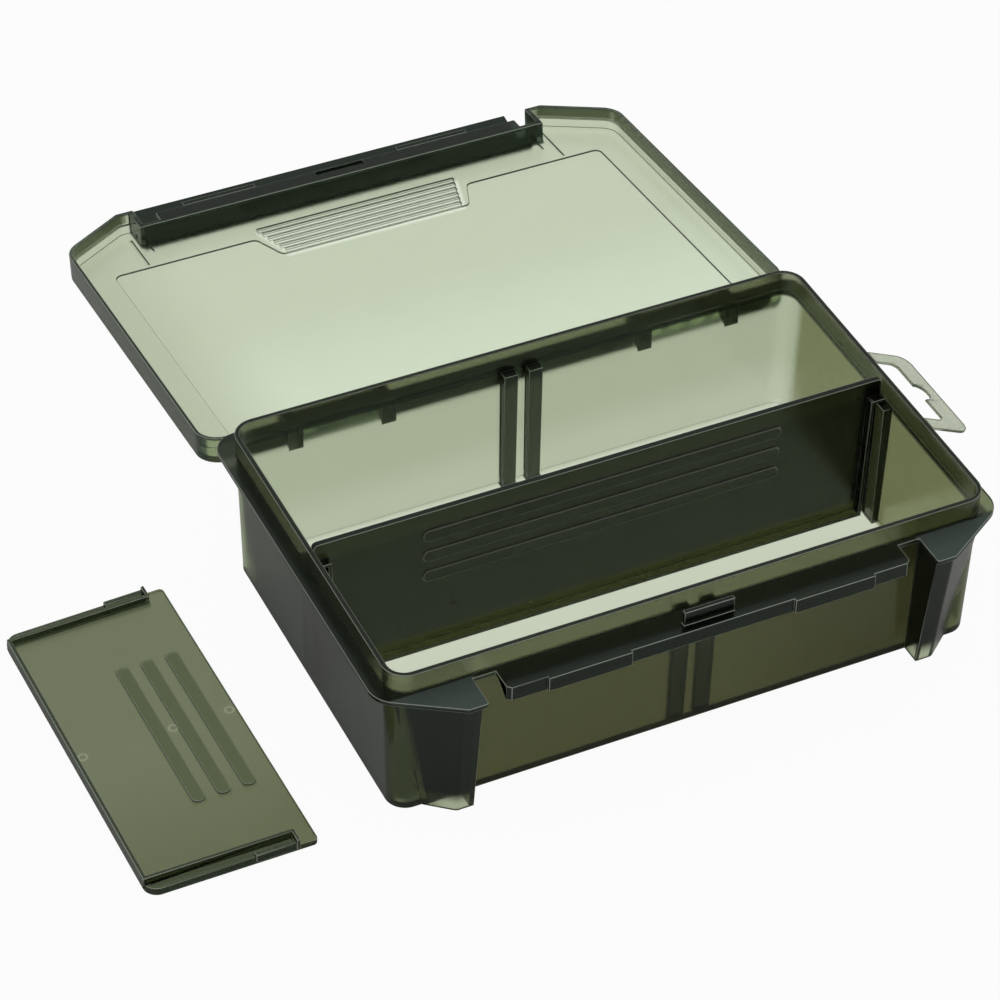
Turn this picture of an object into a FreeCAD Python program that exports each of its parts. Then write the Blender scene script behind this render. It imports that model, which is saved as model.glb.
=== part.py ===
import FreeCAD, Part
import math
import os
import re
import Sketcher

# Lidded lure case in moulded polypropylene, open, with one divider set in place
# and one lying on the ground to its left. Millimetres. X runs along the hinge,
# +Y goes to the hinge side, +Z is up, origin at the middle of the case's base.

doc = FreeCAD.newDocument("lure_case")
sheet = doc.addObject("Spreadsheet::Sheet", "Sizes")

SIZES = {
    # tub of the case body
    "lip_length": 196.0, "lip_depth": 123.4, "lip_top": 54.4, "lip_corner": 7.0,
    "wall": 1.6, "floor": 1.6, "wall_draft": 1.05,
    # flange that the closed lid sits on, with a horn at each end of the latch
    "side_lap": 4.5, "back_lap": 4.0, "lip_stand": 7.2, "flange_thick": 1.5,
    "flange_corner": 8.0, "flange_nose": 9.0, "nose_inset": 1.7, "horn_out": 12.6,
    "horn_inset": 24.7, "horn_edge": 0.8, "horn_width": 6.2, "notch_out": 1.3,
    # latch rail along the front
    "rail_out": 9.5, "rail_gap": 7.3, "rail_skirt": 5.0, "rail_clip": 1.3,
    "pad_proud": 1.0, "pad_outer": 53.4, "pad_inner": 26.7,
    "tab_out": 6.6, "tab_half": 8.2, "tab_thick": 1.5, "tab_stand": 4.9,
    # hollow buttresses under the two horns
    "buttress_wall": 1.4, "buttress_step": 1.0, "buttress_round": 2.5,
    "foot_out": 5.6, "foot_tip_width": 5.6, "foot_root_width": 14.5,
    "head_out": 10.5, "head_tip_width": 6.0, "head_root_width": 22.7,
    # divider slots
    "slot_gap": 3.9, "guide_width": 4.7, "guide_proud": 3.2, "guide_below": 8.4,
    "side_guide_below": 7.4,
    # rear skirts and hinge
    "rear_skirt": 1.5, "rear_skirt_drop": 9.2, "rear_middle": 42.0,
    "rear_wing_inner": 78.0, "rear_wing_outer": 92.0, "rear_wing_round": 4.0,
    "hinge_out": 2.746, "hinge_drop": 2.69, "pin_radius": 1.2, "pin_clearance": 0.05,
    "block_round": 2.55, "block_width": 4.6, "knuckle_inner": 47.3,
    "knuckle_width": 25.9, "knuckle_radius": 2.1, "knuckle_gap": 0.4,
    "arm_width": 1.9, "arm_thick": 1.8, "pin_reach": 3.4, "open_angle": 185.68,
    # folding hang tab
    "hang_reach": 16.2, "hang_half": 20.5, "hang_middle": 1.0, "hang_thick": 0.9,
    "hang_corner": 4.5, "hang_gap": 0.5, "hang_drop": 0.8, "hang_tilt": 25.0,
    "hang_root": 0.2, "hole_half": 15.2, "hole_reach": 8.7, "hole_corner": 2.5,
    "bump_half": 4.1, "bump_reach": 12.2,
    # lid
    "lid_rise": 2.0, "lid_panel": 1.6, "lid_skirt": 1.8, "lid_seat": 0.2,
    "rim_wall": 1.1, "rim_step": 4.2,
    "recess_depth": 10.0, "recess_wall": 1.7, "ledge_depth": 4.8, "ledge_gap": 6.3,
    "ledge_thick": 1.5, "slot_half": 8.8, "slot_start": 2.1, "slot_width": 2.3,
    "field_margin": 12.5, "field_back_margin": 8.0, "field_front_margin": 15.4,
    "field_depth": 0.45, "field_round": 2.5, "grip_front_half": 39.2,
    "grip_back_half": 34.4, "grip_depth": 12.7, "rib_back_half": 32.3,
    "rib_front_half": 36.5, "rib_width": 1.7, "rib_proud": 0.4, "rib_margin": 2.4,
    "rib_pitch": 3.1, "rib_count": 6, "line_width": 0.6, "line_out": 3.8,
    "line_front": 3.2, "line_length": 17.1, "short_line_in": 0.7,
    "short_line_length": 5.0,
    # latch
    "pivot_out": 2.9, "pivot_drop": 2.9, "latch_gap": 0.7, "latch_skirt_gap": 3.3,
    "latch_thick": 1.8, "latch_sink": 0.4, "latch_back_round": 0.9,
    "hook_gap": 2.1, "hook_thick": 1.6, "hook_bite": 1.0, "latch_lip": 2.5,
    "arm_thick_low": 1.7, "latch_pin": 1.0, "latch_pin_reach": 1.6,
    "latch_cheek": 2.4, "latch_open_angle": 73.7,
    # dividers
    "divider_below": 0.1, "divider_plate": 2.0, "divider_gap": 0.1,
    "divider_end_gap": 0.7, "divider_round": 4.5, "divider_top_round": 1.5,
    "rim_width": 1.2, "rim_total": 4.8, "end_rim_total": 2.7, "end_rim_inset": 3.4,
    "plain_edge": 6.0, "head_low": 19.5, "head_total": 3.7, "head_proud": 0.4,
    "stop_width": 1.0, "stop_over": 0.1, "stop_proud": 0.15,
    "bead_first": 9.0, "bead_pitch": 8.0, "bead_width": 4.2, "bead_proud": 0.5,
    "bead_count": 3, "long_bead_half": 60.5, "cross_bead_half": 31.0,
    "cross_away": 20.2, "cross_forward": 4.5, "cross_turn_angle": 1.1,
    "overrun": 1.0,
}

# Places that follow from the sizes above
PLACES = {
    "flange_half": "lip_length / 2 + side_lap",
    "flange_back": "lip_depth / 2 + back_lap",
    "flange_top": "lip_top - lip_stand",
    "shoulder_front": "lip_depth / 2 - nose_inset",
    "horn_front": "lip_depth / 2 + horn_out",
    "horn_inner": "lip_length / 2 - horn_inset",
    "horn_tip": "horn_inner + horn_width",
    "notch_floor": "lip_depth / 2 + notch_out",
    "rail_half": "horn_inner - rail_gap",
    "rail_front": "lip_depth / 2 + rail_out",
    "tab_front": "lip_depth / 2 + tab_out",
    "tab_top": "flange_top + tab_stand",
    "buttress_inner": "horn_inner + buttress_step",
    "foot_front": "lip_depth / 2 + foot_out",
    "foot_tip": "buttress_inner + foot_tip_width",
    "foot_root": "buttress_inner + foot_root_width",
    "head_front": "lip_depth / 2 + head_out",
    "head_tip": "buttress_inner + head_tip_width",
    "head_root": "buttress_inner + head_root_width",
    "guide_top": "lip_top - guide_below",
    "side_guide_top": "lip_top - side_guide_below",
    "rear_skirt_low": "flange_top - rear_skirt_drop",
    "hinge_back": "flange_back + hinge_out",
    "hinge_height": "flange_top - hinge_drop",
    "knuckle_outer": "knuckle_inner + knuckle_width",
    "hang_hinge": "flange_top - hang_drop",
    "lid_top": "lip_top + lid_rise",
    "recess_front": "horn_front - recess_depth",
    "ledge_front": "recess_front + ledge_depth",
    "ledge_half": "horn_inner - ledge_gap",
    "slot_near": "recess_front + slot_start",
    "slot_far": "slot_near + slot_width",
    "field_half": "flange_half - field_margin",
    "field_back": "flange_back - field_back_margin",
    "field_front": "recess_front - field_front_margin",
    "grip_back": "field_front - grip_depth",
    "rib_first": "grip_back + rib_margin",
    "pivot_front": "recess_front + pivot_out",
    "pivot_height": "lid_top - pivot_drop",
    "latch_half": "horn_inner - latch_gap",
    "latch_skirt_half": "horn_inner - latch_skirt_gap",
    "latch_top": "lid_top - latch_sink",
    "latch_back": "pivot_front - latch_back_round",
    "hook_low": "flange_top - rail_skirt - hook_gap",
    "hook_tip": "rail_front + pad_proud - hook_bite",
    "latch_low": "hook_low - latch_lip",
    "arm_low": "latch_top - arm_thick_low",
    "divider_height": "lip_top - floor - divider_gap - divider_below",
    "cross_centre": "flange_half + cross_away + divider_height / 2",
}

for row, (alias, number) in enumerate(SIZES.items(), start=1):
    sheet.set(f"A{row}", alias.replace("_", " "))
    sheet.set(f"B{row}", str(number))
    sheet.setAlias(f"B{row}", alias)
doc.recompute()


def bound(text):
    """The same expression with every size named as its cell in the sheet."""
    def name(word):
        if word[0] in PLACES:
            return "(" + bound(PLACES[word[0]]) + ")"
        return "Sizes." + word[0] if word[0] in SIZES else word[0]
    return re.sub(r"[a-z]\w*", name, str(text))


def value(text):
    found = sheet.evalExpression(bound(text))
    return float(getattr(found, "Value", found))


def new_body(label):
    body = doc.addObject("PartDesign::Body", label)
    body.Label = label
    return body


def new_sketch(body, name, plane, offset="0"):
    sketch = body.newObject("Sketcher::SketchObject", name)
    origin = [f for f in body.Origin.OriginFeatures if f.Role == plane][0]
    sketch.AttachmentSupport = [(origin, "")]
    sketch.MapMode = "FlatFace"
    sketch.setExpression("AttachmentOffset.Base.z", bound(offset))
    return sketch


def fix_point(sketch, geometry, end, x, y):
    for kind, text in (("DistanceX", x), ("DistanceY", y)):
        index = sketch.addConstraint(
            Sketcher.Constraint(kind, -1, 1, geometry, end, value(text)))
        sketch.setExpression(f"Constraints[{index}]", bound(text))


def outline(sketch, corners):
    """Closed outline through the corners (x, y) or (x, y, radius)."""
    spots = [FreeCAD.Vector(value(c[0]), value(c[1]), 0) for c in corners]
    count = len(corners)
    starts, ends, arcs = list(spots), list(spots), {}
    for i, corner in enumerate(corners):
        if len(corner) < 3:
            continue
        to_last = (spots[i - 1] - spots[i]).normalize()
        to_next = (spots[(i + 1) % count] - spots[i]).normalize()
        half = to_last.getAngle(to_next) / 2
        radius = value(corner[2])
        ends[i] = spots[i] + to_last * (radius / math.tan(half))
        starts[i] = spots[i] + to_next * (radius / math.tan(half))
        centre = spots[i] + (to_last + to_next).normalize() * (radius / math.sin(half))
        arcs[i] = (centre, radius, to_last.cross(to_next).z < 0)
    lines = [sketch.addGeometry(Part.LineSegment(starts[i], ends[(i + 1) % count]), False)
             for i in range(count)]
    for i, corner in enumerate(corners):
        last, line = lines[i - 1], lines[i]
        if i not in arcs:
            sketch.addConstraint(Sketcher.Constraint("Coincident", last, 2, line, 1))
            fix_point(sketch, line, 1, corner[0], corner[1])
            continue
        centre, radius, counter = arcs[i]
        first, second = (ends[i], starts[i]) if counter else (starts[i], ends[i])
        angles = [math.atan2(p.y - centre.y, p.x - centre.x) for p in (first, second)]
        ring = Part.Circle(centre, FreeCAD.Vector(0, 0, 1), radius)
        arc = sketch.addGeometry(Part.ArcOfCircle(ring, *angles), False)
        mark = sketch.addGeometry(Part.Point(spots[i]), True)
        near, far = (1, 2) if counter else (2, 1)
        sketch.addConstraint([
            Sketcher.Constraint("Tangent", last, 2, arc, near),
            Sketcher.Constraint("Tangent", arc, far, line, 1),
            Sketcher.Constraint("PointOnObject", mark, 1, last),
            Sketcher.Constraint("PointOnObject", mark, 1, line)])
        fix_point(sketch, mark, 1, corner[0], corner[1])
        index = sketch.addConstraint(Sketcher.Constraint("Radius", arc, radius))
        sketch.setExpression(f"Constraints[{index}]", bound(corner[2]))


def circle(sketch, x, y, radius):
    spot = FreeCAD.Vector(value(x), value(y), 0)
    ring = sketch.addGeometry(Part.Circle(spot, FreeCAD.Vector(0, 0, 1), value(radius)), False)
    fix_point(sketch, ring, 3, x, y)
    index = sketch.addConstraint(Sketcher.Constraint("Radius", ring, value(radius)))
    sketch.setExpression(f"Constraints[{index}]", bound(radius))


def box(sketch, x0, x1, y0, y1, radius=None):
    extra = (radius,) if radius else ()
    outline(sketch, [(x, y) + extra for x, y in ((x0, y0), (x1, y0), (x1, y1), (x0, y1))])


def extrude(body, kind, name, sketch, length, midplane=False, back=False, taper=None):
    """A pad or pocket of the sketch, its length bound to the sheet."""
    feature = body.newObject("PartDesign::" + kind, name)
    feature.Profile = sketch
    feature.setExpression("Length", bound(length))
    feature.Midplane = midplane
    feature.Reversed = back
    if taper:
        feature.setExpression("TaperAngle", bound(taper))
    body.Tip = feature
    return feature


def pad(body, name, plane, offset, length, draw, **options):
    sketch = new_sketch(body, name + "_sketch", plane, offset)
    draw(sketch)
    return extrude(body, "Pad", name, sketch, length, **options)


def pocket(body, name, plane, offset, length, draw, **options):
    sketch = new_sketch(body, name + "_sketch", plane, offset)
    draw(sketch)
    return extrude(body, "Pocket", name, sketch, length, **options)


def mirrored(half):
    """A half outline on the +X side, run on round the -X side."""
    other = [("-(" + c[0] + ")",) + tuple(c[1:]) for c in reversed(half)]
    return half + other


# Case body: drafted tub, flange, horns, latch rail, divider guides, hinge blocks

def rail_corners(y_inside):
    return [("rail_half", y_inside), ("rail_half", "rail_clip - rail_front"),
            ("rail_half - rail_clip", "-rail_front"), ("pad_outer", "-rail_front"),
            ("pad_outer", "-rail_front - pad_proud"), ("pad_inner", "-rail_front - pad_proud"),
            ("pad_inner", "-rail_front")]


def lid_corners(grow, front):
    """Right half of the plan that lid and flange share, offset inward by a wall."""
    slant = f"{grow} * 0.55"
    return [(f"flange_half - {grow}", f"flange_back - {grow}", f"flange_corner - {grow}"),
            (f"flange_half - {grow}", f"{slant} - shoulder_front", f"flange_nose - {grow}"),
            (f"horn_tip - {grow} * 0.3", f"{grow} - horn_front")] + front


def buttress(body, side, name):
    """Hollow tapering buttress from the ground up to the underside of a horn."""
    sign = "-" if side < 0 else ""

    def section(where, height, tip, root, front, inset):
        sketch = new_sketch(body, name + where, "XY_Plane", height)
        back = "wall - lip_depth / 2"
        spots = [(f"{root} - {inset} * 1.55", back),
                 (f"{tip} - {inset} * 0.4", f"{inset} - {front}", f"buttress_round - {inset}"),
                 (f"buttress_inner + {inset}", f"{inset} - {front}"),
                 (f"buttress_inner + {inset}", back)]
        outline(sketch, [(f"{sign}({c[0]})",) + tuple(c[1:]) for c in spots])
        return sketch

    for kind, inset in (("AdditiveLoft", "0"), ("SubtractiveLoft", "buttress_wall")):
        low = section(kind + "_foot", "0", "foot_tip", "foot_root", "foot_front", inset)
        high = section(kind + "_head", "flange_top - flange_thick",
                       "head_tip", "head_root", "head_front", inset)
        loft = body.newObject("PartDesign::" + kind, name + kind)
        loft.Profile = low
        loft.Sections = [high]
        loft.Ruled = True
        body.Tip = loft


def case_body():
    body = new_body("case_body")
    under = "flange_top - flange_thick"
    draft = "atan(wall_draft / lip_top)"
    rail = rail_corners("-notch_floor")
    notch = [("horn_inner", "-horn_front", "horn_edge"), ("horn_inner", "-notch_floor")]
    pad(body, "flange", "XY_Plane", under, "flange_thick",
        lambda s: outline(s, mirrored(lid_corners("0", notch + rail))))
    pad(body, "rail_skirt_wall", "XY_Plane", "flange_top - rail_skirt", "rail_skirt",
        lambda s: outline(s, mirrored(rail_corners("flange_thick - rail_front"))))
    pad(body, "latch_tab", "XY_Plane", under, "tab_top - flange_top + flange_thick",
        lambda s: box(s, "-tab_half", "tab_half", "-tab_front", "tab_thick - tab_front"))
    for side, name in ((1, "right_buttress_"), (-1, "left_buttress_")):
        buttress(body, side, name)
    pad(body, "tub", "XY_Plane", "0", "lip_top",
        lambda s: box(s, "wall_draft - lip_length / 2", "lip_length / 2 - wall_draft",
                      "wall_draft - lip_depth / 2", "lip_depth / 2 - wall_draft",
                      "lip_corner - wall_draft / 2"), taper=draft)
    pocket(body, "inside", "XY_Plane", "lip_top", "lip_top - floor",
           lambda s: box(s, "wall - lip_length / 2", "lip_length / 2 - wall",
                         "wall - lip_depth / 2", "lip_depth / 2 - wall",
                         "lip_corner - wall"), taper="-" + draft)
    root = "(lip_depth / 2 - wall * 0.9)"
    side_root = "(lip_length / 2 - wall * 0.9)"
    inner = "(lip_depth / 2 - wall - guide_proud)"
    side_inner = "(lip_length / 2 - wall - guide_proud)"
    near, far = "slot_gap / 2", "(slot_gap / 2 + guide_width)"

    def wall_guides(sketch):
        for low, high in ((near, far), ("-" + far, "-" + near)):
            box(sketch, low, high, inner, root)
            box(sketch, low, high, "-" + root, "-" + inner)

    def side_guides(sketch):
        for low, high in ((near, far), ("-" + far, "-" + near)):
            box(sketch, side_inner, side_root, low, high)
            box(sketch, "-" + side_root, "-" + side_inner, low, high)

    pad(body, "wall_guide_bars", "XY_Plane", "floor", "guide_top - floor", wall_guides)
    pad(body, "side_guide_bars", "XY_Plane", "floor", "side_guide_top - floor", side_guides)

    def rear_skirts(sketch):
        top = "flange_top - flange_thick / 2"
        box(sketch, "-rear_middle", "rear_middle", "rear_skirt_low", top)
        for sign in ("", "-"):
            outline(sketch, [(sign + "rear_wing_inner", "rear_skirt_low"),
                             (sign + "rear_wing_outer", "rear_skirt_low", "rear_wing_round"),
                             (sign + "rear_wing_outer", top), (sign + "rear_wing_inner", top)])

    pad(body, "rear_skirts", "XZ_Plane", "-flange_back", "rear_skirt", rear_skirts)

    def block_profile(sketch):
        back = "hinge_back + block_round"
        outline(sketch, [("lip_depth / 2 - wall / 2", "rear_skirt_low"),
                         (back, "hinge_height - block_round", "block_round"),
                         (back, "hinge_height + block_round", "block_round * 0.9"),
                         ("lip_depth / 2 - wall / 2", "hinge_height + block_round")])

    blocks = {"inner": "knuckle_inner - knuckle_gap - block_width",
              "outer": "knuckle_outer + knuckle_gap"}
    for side, start in blocks.items():
        pad(body, f"right_{side}_block", "YZ_Plane", start, "block_width", block_profile)
        pad(body, f"left_{side}_block", "YZ_Plane", f"-({start})", "block_width",
            block_profile, back=True)
    pocket(body, "pin_holes", "YZ_Plane", "0", "2 * (knuckle_outer + block_width + overrun)",
           lambda s: circle(s, "hinge_back", "hinge_height", "pin_radius + pin_clearance"),
           midplane=True)
    return body


# Hang tab: thin folding plate with a wide hanging hole, on the flange's right edge

def hang_tab():
    body = new_body("hang_tab")
    bump = "bump_half * 0.95"
    pad(body, "plate", "XY_Plane", "-hang_thick / 2", "hang_thick",
        lambda s: outline(s, [
            ("hang_root", "-hang_half"), ("hang_reach", "-hang_half", "hang_corner"),
            ("hang_reach", "hang_half", "hang_corner"), ("hang_root", "hang_half"),
            ("hang_root", "hole_half"), ("hole_reach", "hole_half", "hole_corner"),
            ("hole_reach", "bump_half"), ("bump_reach", "bump_half", bump),
            ("bump_reach", "-bump_half", bump), ("hole_reach", "-bump_half"),
            ("hole_reach", "-hole_half", "hole_corner"), ("hang_root", "-hole_half")]))
    place(body, ("flange_half + hang_gap", "hang_middle", "hang_hinge"))
    body.Placement.Rotation = FreeCAD.Rotation(FreeCAD.Vector(0, 1, 0), value("hang_tilt"))
    return body


# Lid, drawn closed on the flange and then turned open about the hinge

def lid():
    body = new_body("lid")
    rim = "(flange_top + lid_seat)"
    inside = "(lid_top - lid_panel)"
    horn = "(horn_inner + lid_skirt)"
    pad(body, "shell", "XY_Plane", rim, f"lid_top - {rim}",
        lambda s: outline(s, mirrored(lid_corners("0", [
            ("horn_inner", "-horn_front", "horn_edge"), ("horn_inner", "-recess_front")]))))
    pocket(body, "hollow", "XY_Plane", inside, f"{inside} - {rim}",
           lambda s: outline(s, mirrored(lid_corners("lid_skirt", [
               (horn, "lid_skirt - horn_front"), (horn, "recess_wall - recess_front")]))))
    pocket(body, "thin_rim", "XY_Plane", f"{rim} + rim_step", "rim_step",
           lambda s: outline(s, mirrored(lid_corners("rim_wall", [
               (horn, "rim_wall - horn_front"), (horn, "recess_wall - recess_front")]))))

    def ledge(sketch):
        box(sketch, "-ledge_half", "ledge_half", "-ledge_front", "recess_wall / 2 - recess_front")
        box(sketch, "-slot_half", "slot_half", "-slot_far", "-slot_near")

    pad(body, "ledge", "XY_Plane", rim, "ledge_thick", ledge)
    pocket(body, "panel_field", "XY_Plane", inside, "field_depth",
           lambda s: outline(s, mirrored([
               ("field_half", "field_back", "field_round"),
               ("field_half", "-field_front", "field_round"),
               ("grip_front_half", "-field_front", "field_round"),
               ("grip_back_half", "-grip_back", "field_round")])), back=True)

    def ribs(sketch):
        for i in range(round(value("rib_count"))):
            front = f"(rib_first + {i} * rib_pitch)"
            half = f"(rib_back_half + {i} * (rib_front_half - rib_back_half) / (rib_count - 1))"
            box(sketch, f"-{half}", half, f"-{front} - rib_width / 2",
                f"rib_width / 2 - {front}")

    def corner_lines(sketch):
        near = "(horn_inner - short_line_in)"
        far = "(horn_inner + line_out)"
        wall = "(recess_wall - recess_front)"
        for sign in ("", "-"):
            box(sketch, f"{sign}({far} - line_width / 2)", f"{sign}({far} + line_width / 2)",
                "-recess_front - line_front", "line_length - recess_front - line_front")
            box(sketch, f"{sign}({near} - line_width / 2)", f"{sign}({near} + line_width / 2)",
                f"{wall} + line_width", f"{wall} + short_line_length")

    pad(body, "grip_ribs", "XY_Plane", "lid_top - lid_panel / 2",
        "lid_panel / 2 + rib_proud", ribs)
    pocket(body, "grip_grooves", "XY_Plane", inside, "field_depth", ribs, back=True)
    pocket(body, "corner_grooves", "XY_Plane", inside, "field_depth", corner_lines, back=True)
    mid_skirt = "flange_back - lid_skirt / 2"

    def arm_profile(sketch):
        back = "hinge_back + knuckle_radius"
        outline(sketch, [(mid_skirt, f"{rim} + lid_seat"),
                         ("hinge_back - knuckle_radius - lid_seat", f"{rim} + lid_seat"),
                         ("hinge_back - knuckle_radius", "hinge_height"),
                         (back, "hinge_height"), (back, "flange_top", "arm_thick"),
                         ("flange_back + arm_thick / 2", "lid_top - 2 * arm_thick", "arm_thick"),
                         (mid_skirt, "lid_top - 2 * arm_thick")])

    span = "knuckle_width"
    for back, sign, name in ((False, "", "right"), (True, "-", "left")):
        for i in range(4):
            start = f"{sign}(knuckle_inner + {i} / 3 * ({span} - arm_width))"
            pad(body, f"{name}_arm_{i}", "YZ_Plane", start, "arm_width", arm_profile, back=back)
        for part, radius, reach in (("barrel", "knuckle_radius", "0"),
                                    ("pin", "pin_radius", "pin_reach")):
            pad(body, f"{name}_{part}", "YZ_Plane", f"{sign}(knuckle_inner - {reach})",
                f"{span} + 2 * {reach}",
                lambda s: circle(s, "hinge_back", "hinge_height", radius), back=back)
    pocket(body, "latch_pin_holes", "YZ_Plane", "0", f"2 * {horn} + overrun",
           lambda s: circle(s, "-pivot_front", "pivot_height", "latch_pin + pin_clearance"),
           midplane=True)
    body.Placement = opened()
    return body


def opened():
    axis = FreeCAD.Vector(0, value("hinge_back"), value("hinge_height"))
    turn = FreeCAD.Rotation(FreeCAD.Vector(1, 0, 0), -value("open_angle"))
    return FreeCAD.Placement(FreeCAD.Vector(), turn, axis)


# Latch, drawn closed over the rail, then turned with the lid and swung open

def latch():
    body = new_body("latch")
    face = "(latch_thick - horn_front)"
    across = {"midplane": True}
    pad(body, "front_plate", "YZ_Plane", "0", "2 * latch_skirt_half",
        lambda s: outline(s, [("-horn_front", "latch_low", "hook_thick * 0.6"),
                              (face, "latch_low"), (face, "latch_top"),
                              ("-horn_front", "latch_top", "latch_thick * 0.6")]), **across)
    pad(body, "top_arm", "YZ_Plane", "0", "2 * latch_half",
        lambda s: outline(s, [("-horn_front", "arm_low"), ("-latch_back", "arm_low"),
                              ("-latch_back", "latch_top", "latch_back_round"),
                              ("-horn_front", "latch_top", "latch_thick * 0.6")]), **across)
    for back, sign, name in ((False, "", "right"), (True, "-", "left")):
        pad(body, name + "_hook", "YZ_Plane", sign + "pad_inner", "pad_outer - pad_inner",
            lambda s: box(s, f"{face} - latch_thick / 2", "-hook_tip", "hook_low",
                          "hook_low + hook_thick"), back=back)
    cheek = "latch_pin + latch_back_round"
    for back, sign, name in ((False, "", "right"), (True, "-", "left")):
        pad(body, name + "_cheek", "YZ_Plane", sign + "(latch_half - latch_cheek)",
            "latch_cheek", lambda s: outline(s, [
                (f"-pivot_front - {cheek}", "arm_low + overrun / 2"),
                (f"-pivot_front - {cheek}", f"pivot_height - {cheek} * 0.8", "latch_pin"),
                ("-latch_back", f"pivot_height - {cheek} * 0.8", "latch_back_round"),
                ("-latch_back", "arm_low + overrun / 2")]), back=back)
        pad(body, name + "_pin", "YZ_Plane", sign + "(latch_half - latch_cheek)",
            "latch_cheek + latch_pin_reach",
            lambda s: circle(s, "-pivot_front", "pivot_height", "latch_pin"), back=back)
    pivot = FreeCAD.Vector(0, -value("pivot_front"), value("pivot_height"))
    turn = FreeCAD.Rotation(FreeCAD.Vector(1, 0, 0), -value("latch_open_angle"))
    body.Placement = opened() * FreeCAD.Placement(FreeCAD.Vector(), turn, pivot)
    print("latch pivot at rest", opened().multVec(pivot))
    return body


# Dividers, drawn lying flat with the ribbed side up and the plain edge to +Y

def divider(label, half_length, bead_half):
    body = new_body(label)
    top = "divider_height"
    shoulder = "(divider_height - plain_edge)"

    def end(height):
        return f"({half_length} - wall_draft * (divider_height - {height}) / lip_top)"

    def rib(height):
        return f"({end(height)} - end_rim_inset)"

    def raised(name, total, draw):
        pad(body, name, "XY_Plane", "divider_plate / 2", f"{total} - divider_plate / 2", draw)

    pad(body, "plate", "XY_Plane", "0", "divider_plate",
        lambda s: outline(s, mirrored([(end(top), top, "divider_top_round"),
                                       (end("0"), "0", "divider_round")])))
    raised("high_rim", "rim_total", lambda s: outline(s, mirrored([
        (f"{rib(shoulder)} - rim_width", shoulder), (rib(shoulder), shoulder),
        (rib("0"), "0")]) + [
            (f"rim_width - {rib('0')}", "rim_width"), (f"{rib('0')} - rim_width", "rim_width")]))

    def end_rims(sketch):
        low, high = (f"({rib(height)} - rim_width / 2)" for height in ("0", shoulder))
        for sign in ("", "-"):
            spots = [(low, "0"), (end("0"), "0", "divider_round"),
                     (end(shoulder), shoulder, "rim_width"), (high, shoulder),
                     (high, f"{shoulder} - rim_width"),
                     (f"({end(shoulder)} - rim_width)", f"{shoulder} - rim_width"),
                     (f"({end('0')} - rim_width)", "rim_width", "divider_round - rim_width"),
                     (low, "rim_width")]
            outline(sketch, [(sign + c[0],) + tuple(c[1:]) for c in spots])

    raised("end_rims", "end_rim_total", end_rims)

    def heads(sketch):
        low = "(divider_height - head_low)"
        for sign in ("", "-"):
            spots = [(f"({end(low)} - rim_width)", low), (f"({end(low)} + head_proud)", low),
                     (f"({end(shoulder)} + head_proud)", shoulder),
                     (f"({end(shoulder)} - rim_width)", shoulder)]
            outline(sketch, [(sign + c[0], c[1]) for c in spots])

    raised("heads", "head_total", heads)

    def end_stops(sketch):
        low, high = f"({shoulder} + stop_over - stop_width)", f"({shoulder} + stop_over)"
        proud = "(head_proud + stop_proud)"
        for sign in ("", "-"):
            spots = [(f"({rib(low)} - rim_width / 2)", low), (f"({end(low)} + {proud})", low),
                     (f"({end(high)} + {proud})", high), (f"({rib(high)} - rim_width / 2)", high)]
            outline(sketch, [(sign + c[0], c[1]) for c in spots])

    raised("end_stops", "rim_total", end_stops)

    def beads(sketch):
        for i in range(round(value("bead_count"))):
            middle = f"(divider_height - bead_first - {i} * bead_pitch)"
            box(sketch, f"-{bead_half}", bead_half, f"{middle} - bead_width / 2",
                f"{middle} + bead_width / 2", "bead_width * 0.49")

    raised("beads", "divider_plate + bead_proud", beads)
    return body


def place(body, spot):
    for axis, text in zip("xyz", spot):
        body.setExpression(f"Placement.Base.{axis}", bound(text))


def long_divider():
    body = divider("long_divider", "(lip_length / 2 - wall - divider_end_gap)",
                   "long_bead_half")
    place(body, ("0", "head_total / 2", "floor + divider_gap"))
    body.Placement.Rotation = FreeCAD.Rotation(FreeCAD.Vector(1, 0, 0), 90)
    return body


def cross_divider():
    body = divider("cross_divider", "(lip_depth / 2 - wall - divider_end_gap)",
                   "cross_bead_half")
    place(body, ("-cross_centre - divider_height / 2", "-cross_forward", "0"))
    turn = value("cross_turn_angle") - 90
    body.Placement.Rotation = FreeCAD.Rotation(FreeCAD.Vector(0, 0, 1), turn)
    return body


bodies = [case_body(), hang_tab(), lid(), latch(), long_divider(), cross_divider()]
doc.recompute()
for item in doc.Objects:
    if {"Invalid", "Error"} & set(item.State):
        raise RuntimeError(f"{item.Label}: {item.State}")
os.makedirs("parts", exist_ok=True)
for body in bodies:
    shape = body.Shape
    if shape.isNull() or not shape.isValid() or len(shape.Solids) != 1:
        raise RuntimeError(f"{body.Label}: bad shape")
    shape.exportStep(f"parts/{body.Label}.step")
    reach = shape.BoundBox
    print(f"{body.Label}: volume {shape.Volume:.0f}, x {reach.XMin:.2f} {reach.XMax:.2f},"
          f" y {reach.YMin:.2f} {reach.YMax:.2f}, z {reach.ZMin:.2f} {reach.ZMax:.2f}")
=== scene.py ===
import math
import bpy
from mathutils import Matrix, Vector

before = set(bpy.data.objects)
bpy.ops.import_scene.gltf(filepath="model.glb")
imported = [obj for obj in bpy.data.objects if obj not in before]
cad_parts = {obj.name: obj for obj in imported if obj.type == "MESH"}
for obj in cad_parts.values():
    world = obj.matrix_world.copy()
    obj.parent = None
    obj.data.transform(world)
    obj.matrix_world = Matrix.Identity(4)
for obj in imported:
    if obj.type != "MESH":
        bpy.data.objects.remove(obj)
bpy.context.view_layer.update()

print("frame loaded:", sorted(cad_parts))
mm = 0.001


# Camera: where the photographer stood, found from the edges of the case

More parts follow.
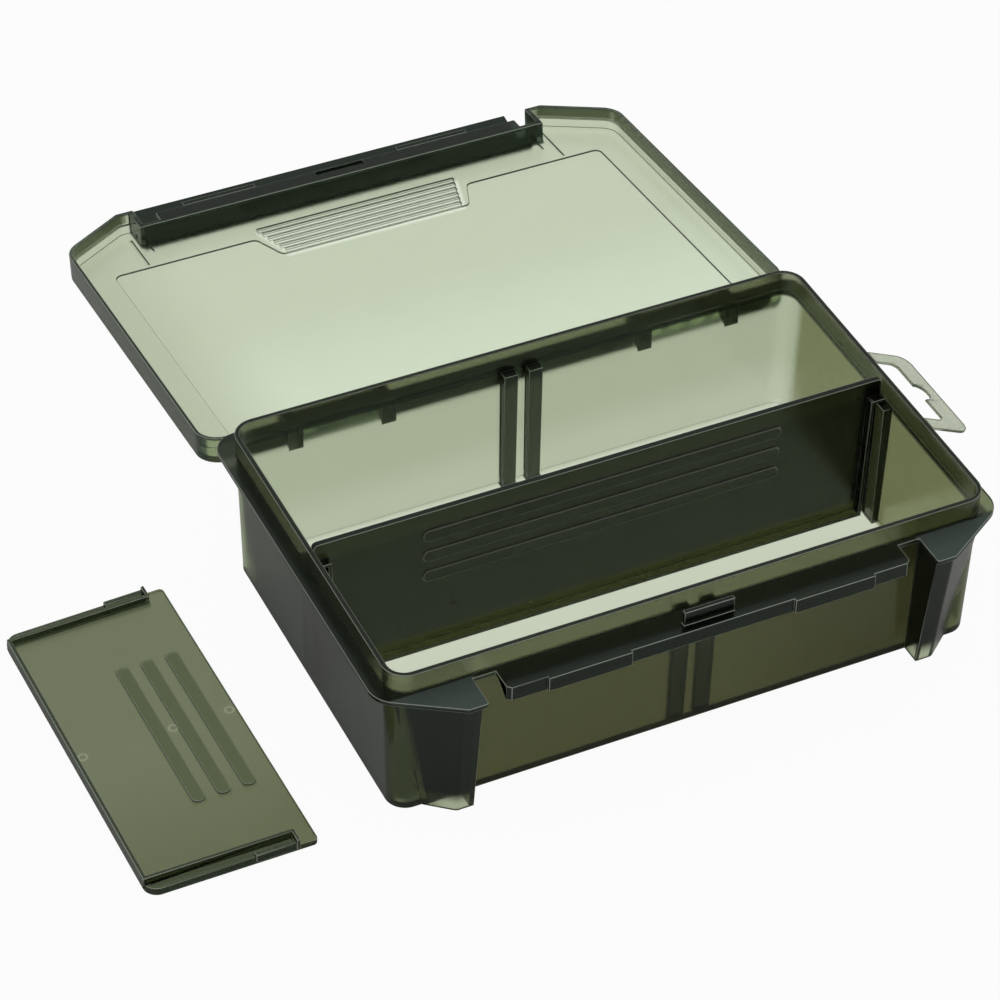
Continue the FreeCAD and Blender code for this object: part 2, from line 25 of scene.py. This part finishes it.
cameraPlace = {
    "lookAt": Vector((0.0, 0.0, 0.025)),
    "azimuth": -25.97,
    "elevation": 41.02,
    "roll": 1.21,
    "distance": 1.13503,
    "slideRight": -0.0314,
    "slideUp": 0.01012,
    "lens": 133.19,
    "sensor": 36.0,
    "clipNear": 0.01,
    "clipFar": 20,
}


def addCamera(place):
    azimuth, elevation, roll = (math.radians(place[k]) for k in ("azimuth", "elevation", "roll"))
    back = Vector((math.sin(azimuth) * math.cos(elevation),
                   -math.cos(azimuth) * math.cos(elevation), math.sin(elevation)))
    level = (-back).cross(Vector((0, 0, 1))).normalized()
    rise = level.cross(-back)
    right = level * math.cos(roll) + rise * math.sin(roll)
    up = rise * math.cos(roll) - level * math.sin(roll)
    data = bpy.data.cameras.new("camera")
    data.lens = place["lens"]
    data.sensor_width = place["sensor"]
    data.clip_start, data.clip_end = place["clipNear"], place["clipFar"]
    camera = bpy.data.objects.new("camera", data)
    bpy.context.collection.objects.link(camera)
    spot = place["lookAt"] + back * place["distance"]
    spot += right * place["slideRight"] + up * place["slideUp"]
    turn = Matrix((right, up, back)).transposed().to_4x4()
    camera.matrix_world = Matrix.Translation(spot) @ turn
    bpy.context.scene.camera = camera


addCamera(cameraPlace)
print("camera placed")


# Materials

def linearColour(hexText, alpha=1.0):
    channels = [int(hexText[i:i + 2], 16) / 255 for i in (1, 3, 5)]
    linear = [c / 12.92 if c <= 0.04045 else ((c + 0.055) / 1.055) ** 2.4 for c in channels]
    return linear + [alpha]


def addNode(tree, kind, settings=None, **links):
    # links: socket name, or _ and its number, = a value or (node, output)
    node = tree.nodes.new(kind)
    for key, setting in (settings or {}).items():
        setattr(node, key, setting)
    for key, source in links.items():
        socket = node.inputs[int(key[1:]) if key[1:].isdigit() else key.replace("_", " ")]
        if isinstance(source, tuple) and isinstance(source[0], bpy.types.Node):
            tree.links.new(source[0].outputs[source[1]], socket)
        else:
            socket.default_value = source
    return node


def newMaterial(name):
    material = bpy.data.materials.new(name)
    material.use_nodes = True
    tree = material.node_tree
    tree.nodes.clear()
    return material, tree


# Polypropylene random copolymer, tinted smoke green and injection moulded: a
# cloudy see-through wall with a glossy skin, darker wherever the eye looks
# through more of it, with a faint waviness left by the mould.
polypropylene = {
    "ior": 1.49,
    "gloss": 0.36,
    "glossTint": "#E0F8E2",
    "roughnessSpread": 0.2,
    "waveSize": 9 * mm,
    "waveHeight": 0.005 * mm,
    "waveDetail": 2.0,
    "absorbed": "#8F9B78",
}


def foldedPlace(tree, turned):
    # the point on the piece as it was drawn, with both halves folded onto +X
    place = addNode(tree, "ShaderNodeTexCoord")
    drawn = (place, "Object")
    if turned:
        back = addNode(tree, "ShaderNodeVectorRotate", {"rotation_type": turned["axis"]},
                       Vector=drawn, Center=[c * mm for c in turned["centre"]],
                       Angle=math.radians(turned["angle"]))
        shifted = addNode(tree, "ShaderNodeVectorMath", {"operation": "SUBTRACT"},
                          _0=(back, "Vector"), _1=[c * mm for c in turned["origin"]])
        drawn = (shifted, "Vector")
    axes = addNode(tree, "ShaderNodeSeparateXYZ", Vector=drawn)
    across = addNode(tree, "ShaderNodeMath", {"operation": "ABSOLUTE"}, _0=(axes, "X"))
    folded = addNode(tree, "ShaderNodeCombineXYZ", X=(across, "Value"), Y=(axes, "Y"),
                     Z=(axes, "Z"))
    return drawn, (folded, "Vector")


def zoneMask(tree, drawn, folded, planes, softness, side):
    # 1 where the point is past every plane (a, b, c, limit): a|x| + by + cz > limit
    mask = None
    checks = [(folded, plane) for plane in planes]
    if side:
        checks.append((drawn, (side, 0, 0, 0)))
    for point, (a, b, c, limit) in checks:
        along = addNode(tree, "ShaderNodeVectorMath", {"operation": "DOT_PRODUCT"},
                        _0=point, _1=(a, b, c))
        past = addNode(tree, "ShaderNodeMapRange", {"interpolation_type": "SMOOTHSTEP"},
                       Value=(along, "Value"), From_Min=(limit - softness / 2) * mm,
                       From_Max=(limit + softness / 2) * mm)
        if mask:
            past = addNode(tree, "ShaderNodeMath", {"operation": "MULTIPLY"},
                           _0=(mask, 0), _1=(past, "Result"))
        mask = past
    return mask


# Rings left by the pins that push a moulding out of its tool, in mm
ejectorMark = {
    "radius": 1.3,
    "line": 0.55,
}


def ringMask(tree, drawn, middle):
    away = addNode(tree, "ShaderNodeVectorMath", {"operation": "DISTANCE"},
                   _0=drawn, _1=[c * mm for c in middle])
    past = addNode(tree, "ShaderNodeMath", {"operation": "SUBTRACT"},
                   _0=(away, "Value"), _1=ejectorMark["radius"] * mm)
    off = addNode(tree, "ShaderNodeMath", {"operation": "ABSOLUTE"}, _0=(past, "Value"))
    return addNode(tree, "ShaderNodeMapRange", {"interpolation_type": "SMOOTHSTEP"},
                   Value=(off, "Value"), From_Min=ejectorMark["line"] * mm, From_Max=0.0)


# the base tint with zones of painted light and shade laid over it, then the ejector rings
def tintWithPaintedLight(tree, tint, zones, drawn, folded, marks=()):
    colour = linearColour(tint)
    for paintedLightColour, softness, planes, side in zones:
        mask = zoneMask(tree, drawn, folded, planes, softness, side)
        zone = addNode(tree, "ShaderNodeMix", {"data_type": "RGBA"},
                       _0=(mask, 0), _6=colour, _7=linearColour(paintedLightColour))
        colour = (zone, 2)
    for markTint, middle in marks:
        ring = addNode(tree, "ShaderNodeMix", {"data_type": "RGBA"},
                       _0=(ringMask(tree, drawn, middle), 0), _6=colour,
                       _7=linearColour(markTint))
        colour = (ring, 2)
    return colour


def fillWithTint(tree, skin, depth):
    # depth: how far light goes in the plastic before most of it is taken
    tintVolume = addNode(tree, "ShaderNodeVolumeAbsorption",
                         Color=linearColour(polypropylene["absorbed"]), Density=1 / depth)
    addNode(tree, "ShaderNodeOutputMaterial", Surface=(skin, 0), Volume=(tintVolume, 0))


def smokePolypropylene(name, tint, depth, roughness, haze, hazeColour, zones=(), turned=None,
                       gloss=polypropylene["gloss"], marks=(), paintedSheen=()):
    # zones: (tint, softness, planes, side), painted light and shade, each laid over the last;
    # marks:
    # (tint, middle); the last argument: (colour, share, softness, planes, side), a painted sheen
    # laid on as a matt face
    material, tree = newMaterial(name)
    drawn, folded = foldedPlace(tree, turned)
    wave = addNode(tree, "ShaderNodeTexNoise", Vector=drawn,
                   Scale=1 / polypropylene["waveSize"], Detail=polypropylene["waveDetail"])
    surface = addNode(tree, "ShaderNodeBump", Height=(wave, "Fac"), Strength=1.0,
                      Distance=polypropylene["waveHeight"])
    spread = addNode(tree, "ShaderNodeMapRange", Value=(wave, "Fac"),
                     To_Min=roughness * (1 - polypropylene["roughnessSpread"]),
                     To_Max=roughness * (1 + polypropylene["roughnessSpread"]))
    shader = addNode(tree, "ShaderNodeBsdfPrincipled",
                     Base_Color=tintWithPaintedLight(tree, tint, zones, drawn, folded, marks),
                     Roughness=(spread, "Result"), IOR=polypropylene["ior"],
                     Specular_IOR_Level=gloss,
                     Specular_Tint=linearColour(polypropylene["glossTint"]),
                     Transmission_Weight=1.0, Normal=(surface, "Normal"))
    cloud = addNode(tree, "ShaderNodeBsdfTranslucent", Color=linearColour(hazeColour),
                    Normal=(surface, "Normal"))
    cloudy = addNode(tree, "ShaderNodeMixShader", _0=haze, _1=(shader, "BSDF"),
                     _2=(cloud, "BSDF"))
    # painted sheen: a matt diffuse face mixed in wherever its zone lies
    for sheenColour, most, softness, planes, side in paintedSheen:
        share = addNode(tree, "ShaderNodeMath", {"operation": "MULTIPLY"},
                        _0=(zoneMask(tree, drawn, folded, planes, softness, side), 0), _1=most)
        sheenFace = addNode(tree, "ShaderNodeBsdfDiffuse", Color=linearColour(sheenColour))
        cloudy = addNode(tree, "ShaderNodeMixShader", _0=(share, "Value"), _1=(cloudy, 0),
                         _2=(sheenFace, "BSDF"))
    fillWithTint(tree, cloudy, depth)
    return material


# Small rounds on every edge, with painted light: a thin pale diffuse line, a painted highlight,
# where the edge stands out, and the darker edge tint, painted shade, where it is a corner
edgeLine = {
    "roughness": 0.3,
    "pale": "#C3CDBD",
    "paleShare": 0.8,
    "standsOut": 0.51,
    "standsOutFully": 0.56,
}


def edgeWithPaintedHighlight(name, tint, depth, zones=(), turned=None):
    material, tree = newMaterial(name)
    drawn, folded = foldedPlace(tree, turned)
    shape = addNode(tree, "ShaderNodeNewGeometry")
    share = addNode(tree, "ShaderNodeMapRange", Value=(shape, "Pointiness"),
                    From_Min=edgeLine["standsOut"], From_Max=edgeLine["standsOutFully"],
                    To_Max=edgeLine["paleShare"])
    clear = addNode(tree, "ShaderNodeBsdfPrincipled",
                    Base_Color=tintWithPaintedLight(tree, tint, zones, drawn, folded),
                    Roughness=edgeLine["roughness"], IOR=polypropylene["ior"],
                    Transmission_Weight=1.0)
    pale = addNode(tree, "ShaderNodeBsdfDiffuse", Color=linearColour(edgeLine["pale"]))
    mixed = addNode(tree, "ShaderNodeMixShader", _0=(share, "Result"), _1=(clear, "BSDF"),
                    _2=(pale, "BSDF"))
    fillWithTint(tree, mixed, depth)
    return material


# the lid's zones are in the closed lid's place, the loose divider's as it was drawn
lidTurn = dict(axis="X_AXIS", centre=(0, 68.446, 44.51), angle=185.68, origin=(0, 0, 0))
looseTurn = dict(axis="Z_AXIS", centre=(-175.3, -4.5, 0), angle=88.9, origin=(-175.3, -4.5, 0))
looseBeads = {"middles": (43.6, 35.6, 27.6), "halfWidth": 2.2, "halfLength": 31.2}
looseEjectors = (3.3, 32.1, 50.2)

# Each piece's look: base tint, depth, roughness and gloss, with zones of painted light and shade.
# One plastic gets lighter and darker base tints piece by piece, as painted light and shade: the
# lid and hang tab light, the case body darker, the long divider near black.
finishesWithPaintedLight = {
    "case_body": dict(tint="#6A674A", depth=5 * mm, roughness=0.2, gloss=0.26, haze=0.04,
                      hazeColour="#8E9B74", paintedSheen=[
        # painted sheen on the horn tops
        ("#626E69", 0.7, 0.6, [(0, 0, 1, 46.6), (0, -1, 0, 62), (1, 0, 0, 72.5)], 0)],  # horn tops
                      zones=[
        # painted light and shade on the case body, by where each part stands: lighter on the rear
        # wall and its foot, the floor, the right wall, the lip, the flange by the tab and the
        # feet; darker on the front, the left wall, the corners, the flange, the hinge blocks, the
        # guides, the rail, the horns and buttresses
        ("#46442E", 90, [(1, 0, 0, 40), (0, -1, 0, 50)], 1),  # front wall, right part
        ("#333A31", 3, [(1, 0, 0, 90)], -1),  # left wall
        ("#8E946A", 3, [(1, 0, 0, 90)], 1),  # right wall
        ("#464A32", 5, [(1, 0, 0, 88), (0, -1, 0, 54)], -1),  # left front corner
        ("#5C6144", 5, [(1, 0, 0, 88), (0, -1, 0, 60)], 1),  # right front corner
        ("#C5D0B4", 4, [(0, 1, 0, 52)], 0),  # rear wall
        ("#D5DFC6", 20, [(0, 1, 0, 52), (0, 0, -1, -15)], 0),  # its paler foot
        ("#F3FCE8", 1.5, [(0, 0, -1, -3), (-1, 0, 0, -94.5), (0, 1, 0, -58.5),
                          (0, -1, 0, -58.5)], 0),  # floor
        ("#969A80", 1, [(0, 0, 1, 47.4)], 0),  # lip above the flange
        ("#20271F", 1, [(0, 0, 1, 45.4), (0, 0, -1, -47.4)], 0),  # flange
        ("#87916C", 1, [(0, 0, 1, 45.4), (0, 0, -1, -47.4), (1, 0, 0, 98.4),
                        (0, 1, 0, -60.5)], 1),  # flange that carries the tab
        ("#262E25", 1, [(0, 1, 0, 62.3), (0, 0, -1, -47.4)], 0),  # hinge blocks and skirts
        ("#667058", 1.5, [(0, 1, 0, 62.3), (0, 0, -1, -41.5), (1, 0, 0, 42.1),
                          (-1, 0, 0, -78.4)], 0),  # feet of the hinge blocks
        ("#0E110A", 0.5, [(1, 0, 0, 1.8), (-1, 0, 0, -7), (0, 1, 0, 56.5),
                          (0, -1, 0, -60.3), (0, 0, -1, -46.3)], 0),  # rear guides
        ("#20241B", 0.5, [(1, 0, 0, 1.8), (-1, 0, 0, -7), (0, -1, 0, 56.5),
                          (0, 1, 0, -60.3), (0, 0, -1, -46.3)], 0),  # front guides
        ("#10140B", 0.5, [(1, 0, 0, 93), (-1, 0, 0, -96.5), (0, 1, 0, -7), (0, -1, 0, -7),
                          (0, 0, -1, -47.3)], 0),  # side guides
        ("#1A221C", 1, [(0, -1, 0, 62.5), (0, 0, 1, 41), (0, 0, -1, -53)], 0),  # rail
        ("#10150E", 1, [(0, -1, 0, 61.7), (1, 0, 0, 72.5)], 0),  # horns and buttresses
        ("#B9C2A6", 6, [(0, -1, 0, 62), (1, 0, 0, 72.5), (0, 0, -1, -5)], 0)]),  # feet
    "lid": dict(tint="#D8E3C9", depth=12 * mm, roughness=0.18, haze=0.04,
                hazeColour="#C4D2AA", turned=lidTurn, zones=[
        # painted light and shade on the lid: lighter towards the hinge and on the grip, darker on
        # the left side, the skirts and their rims, the edge that meets the flange and in the latch
        # recess
        ("#E5F1D9", 60, [(0, 1, 0, 20)], 0),  # hinge side
        ("#C9D3B9", 40, [(1, 0, 0, 80)], -1),  # left side
        ("#CFD7BF", 1, [(1, 0, 0, 100.5)], 0),  # skirt at the ends
        ("#CFD7BF", 1, [(0.527, -0.85, 0, 103.1)], 0),  # skirt at the cut corners
        ("#4C553D", 1, [(1, 0, 0, 100.5), (0, 0, -1, -51.6)], 0),  # thin rim of both
        ("#4C553D", 1, [(0.527, -0.85, 0, 103.1), (0, 0, -1, -51.6)], 0),
        ("#39433A", 0.6, [(0, 0, -1, -48.2)], 0),  # edge that meets the flange
        ("#39433A", 1, [(1, 0, 0, 100.5), (0, 1, 0, -59)], -1),  # left skirt
        ("#F6FFEC", 1, [(-1, -0.271, 0, -23.3), (0, 1, 0, -53.2),
                         (0, -1, 0, 34.9)], 0),  # grip
        ("#2C372E", 1, [(0, -1, 0, 61.9), (-1, 0, 0, -75.4)], 0)]),  # latch recess
    "latch": dict(tint="#1A231D", depth=2 * mm, roughness=0.2, gloss=0.2, haze=0.0,
                  hazeColour="#202822"),
    # the long divider's near-black tint is painted shade; its zones paint light on the foot and
    # the strip over the beads, and a painted sheen on the upper edge
    "long_divider": dict(tint="#201F13", depth=3 * mm, roughness=0.25, gloss=0.12, haze=0.02,
                         hazeColour="#30341F", marks=[("#7A8062", (0.9, -0.15, 33))], zones=[
        ("#55593A", 1, [(0, 0, -1, -6)], 0),  # foot
        ("#3A3E2C", 1, [(0, 0, 1, 47.8)], 0),  # strip over the beads
        ("#7E866F", 0.3, [(0, 0, 1, 54)], 0)]),  # upper edge
    # painted shade on the loose divider: darker towards the front, on the high rim, the end rims
    # and the beads
    "cross_divider": dict(tint="#8B9275", depth=5 * mm, roughness=0.25, haze=0.08,
                          hazeColour="#8B9770", turned=looseTurn,
                          marks=[("#DDE6CC", (-0.7, y, 2)) for y in looseEjectors], zones=[
        ("#7C8262", 60, [(1, 0, 0, 30)], 1),  # towards the front
        ("#4E5744", 0.6, [(0, -1, 0, -1.6)], 0),  # high rim
        ("#5A634E", 0.6, [(1, 0, 0, 53.9), (0, -1, 0, -46.9)], 0)] + [  # end rims
        ("#6B7455", 0.5, [(-1, 0, 0, -looseBeads["halfLength"]),
                          (0, 1, 0, middle - looseBeads["halfWidth"]),
                          (0, -1, 0, -middle - looseBeads["halfWidth"])], 0)
        for middle in looseBeads["middles"]]),
    "hang_tab": dict(tint="#D9E0CC", depth=12 * mm, roughness=0.2, haze=0.08,
                     hazeColour="#C4CFAA"),
}
edgeTintsWithPaintedLight = {
    # the edge tints, most darker than their faces, are painted shade in the corners; the zones
    # paint light on the edges at the foot of the front and rear walls and round the lid's grip
    "case_body": dict(tint="#4C5346", zones=[
        ("#7E8460", 1, [(0, 0, -1, -2.5), (0, -1, 0, 0)], 0),  # foot of the front
        ("#E8F2DC", 1, [(0, 0, -1, -4), (0, 1, 0, 50)], 0)]),  # foot of the rear wall
    "lid": dict(tint="#808B74", turned=lidTurn, zones=[
        ("#E4EDD6", 0.6, [(-1, -0.271, 0, -23.5), (0, 1, 0, -53.4),
                          (0, -1, 0, 34.7)], 0)]),  # grip
    "latch": dict(tint="#181F1A"),
    "long_divider": dict(tint="#3C4032"),
    "cross_divider": dict(tint="#5F6651"),
    "hang_tab": dict(tint="#A5AE98"),
}

for nodeName, finishWithPaintedLight in finishesWithPaintedLight.items():
    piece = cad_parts[nodeName]
    piece.data.materials.clear()
    piece.data.materials.append(smokePolypropylene(nodeName + "_moulded_polypropylene", **finishWithPaintedLight))
    piece.data.materials.append(edgeWithPaintedHighlight(nodeName + "_edge_with_painted_highlight",
                                                  depth=finishWithPaintedLight["depth"], **edgeTintsWithPaintedLight[nodeName]))
print("plastics mixed")


# Edges: a moulded part has no knife edges, so each gets a small round that
# catches the light

edgeRound = {
    "weldReach": 0.002 * mm,
    "flatWithin": math.radians(0.4),
    "leftAsTriangles": ("hang_tab",),  # its flat faces have a hole through them
    "width": 0.16 * mm,
    "segments": 2,
    "sharpOver": math.radians(32),
}


def roundEdges(piece):
    for polygon in piece.data.polygons:
        polygon.use_smooth = True
    weld = piece.modifiers.new("weld", "WELD")
    weld.merge_threshold = edgeRound["weldReach"]
    if piece.name not in edgeRound["leftAsTriangles"]:
        flat = piece.modifiers.new("flat", "DECIMATE")
        flat.decimate_type = "DISSOLVE"
        flat.angle_limit = edgeRound["flatWithin"]
    bevel = piece.modifiers.new("round", "BEVEL")
    bevel.width = edgeRound["width"]
    bevel.segments = edgeRound["segments"]
    bevel.limit_method = "ANGLE"
    bevel.angle_limit = edgeRound["sharpOver"]
    bevel.use_clamp_overlap = False
    bevel.material = 1
    normals = piece.modifiers.new("normals", "WEIGHTED_NORMAL")
    normals.keep_sharp = True


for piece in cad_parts.values():
    roundEdges(piece)
print("edges rounded")


# Studio: white table and a broad soft light from above

studio = {
    "tableSize": 6.0,
    "tableColour": "#F4F4F2",
    "tableBelow": 0.2 * mm,
    "tableGlow": 0.95,
    "skyTop": 0.6,
    "skyLow": 0.1,
    "skyFrom": -0.1,
    "skyTo": 0.85,
}


def addTable():
    bpy.ops.object.select_all(action="DESELECT")
    bpy.ops.mesh.primitive_plane_add(size=studio["tableSize"])
    table = bpy.context.object
    table.name = "table"
    material, tree = newMaterial("matt_white_table_paper")
    paper = addNode(tree, "ShaderNodeBsdfDiffuse", Color=linearColour(studio["tableColour"]))
    white = addNode(tree, "ShaderNodeEmission", Color=linearColour("#FFFFFF"), Strength=1.0)
    ray = addNode(tree, "ShaderNodeLightPath")
    straight = addNode(tree, "ShaderNodeMath", {"operation": "MULTIPLY"},
                       _0=(ray, "Is Camera Ray"), _1=studio["tableGlow"])
    seen = addNode(tree, "ShaderNodeMath", {"operation": "MAXIMUM"},
                   _0=(straight, "Value"), _1=(ray, "Is Transmission Ray"))
    mixed = addNode(tree, "ShaderNodeMixShader", _0=(seen, "Value"), _1=(paper, "BSDF"),
                    _2=(white, "Emission"))
    out = addNode(tree, "ShaderNodeOutputMaterial")
    tree.links.new(mixed.outputs[0], out.inputs["Surface"])
    table.data.materials.append(material)
    table.location.z = -studio["tableBelow"]
    bpy.ops.object.transform_apply(location=True)


def addSky():
    world = bpy.data.worlds.new("studio")
    bpy.context.scene.world = world
    world.use_nodes = True
    tree = world.node_tree
    tree.nodes.clear()
    ray = addNode(tree, "ShaderNodeLightPath")
    way = addNode(tree, "ShaderNodeTexCoord")
    axes = addNode(tree, "ShaderNodeSeparateXYZ", Vector=(way, "Generated"))
    glow = addNode(tree, "ShaderNodeMapRange", {"interpolation_type": "SMOOTHSTEP"},
                   Value=(axes, "Z"), From_Min=studio["skyFrom"], From_Max=studio["skyTo"],
                   To_Min=studio["skyLow"], To_Max=studio["skyTop"])
    plain = addNode(tree, "ShaderNodeMath", {"operation": "MAXIMUM"},
                    _0=(ray, "Is Camera Ray"), _1=(ray, "Is Transmission Ray"))
    shown = addNode(tree, "ShaderNodeMath", {"operation": "MAXIMUM"},
                    _0=(plain, "Value"), _1=(glow, "Result"))
    sky = addNode(tree, "ShaderNodeBackground", Color=linearColour("#FFFFFF"),
                  Strength=(shown, "Value"))
    out = addNode(tree, "ShaderNodeOutputWorld")
    tree.links.new(sky.outputs[0], out.inputs["Surface"])


addTable()
addSky()
bpy.context.scene.view_settings.view_transform = "Standard"
print("studio set")
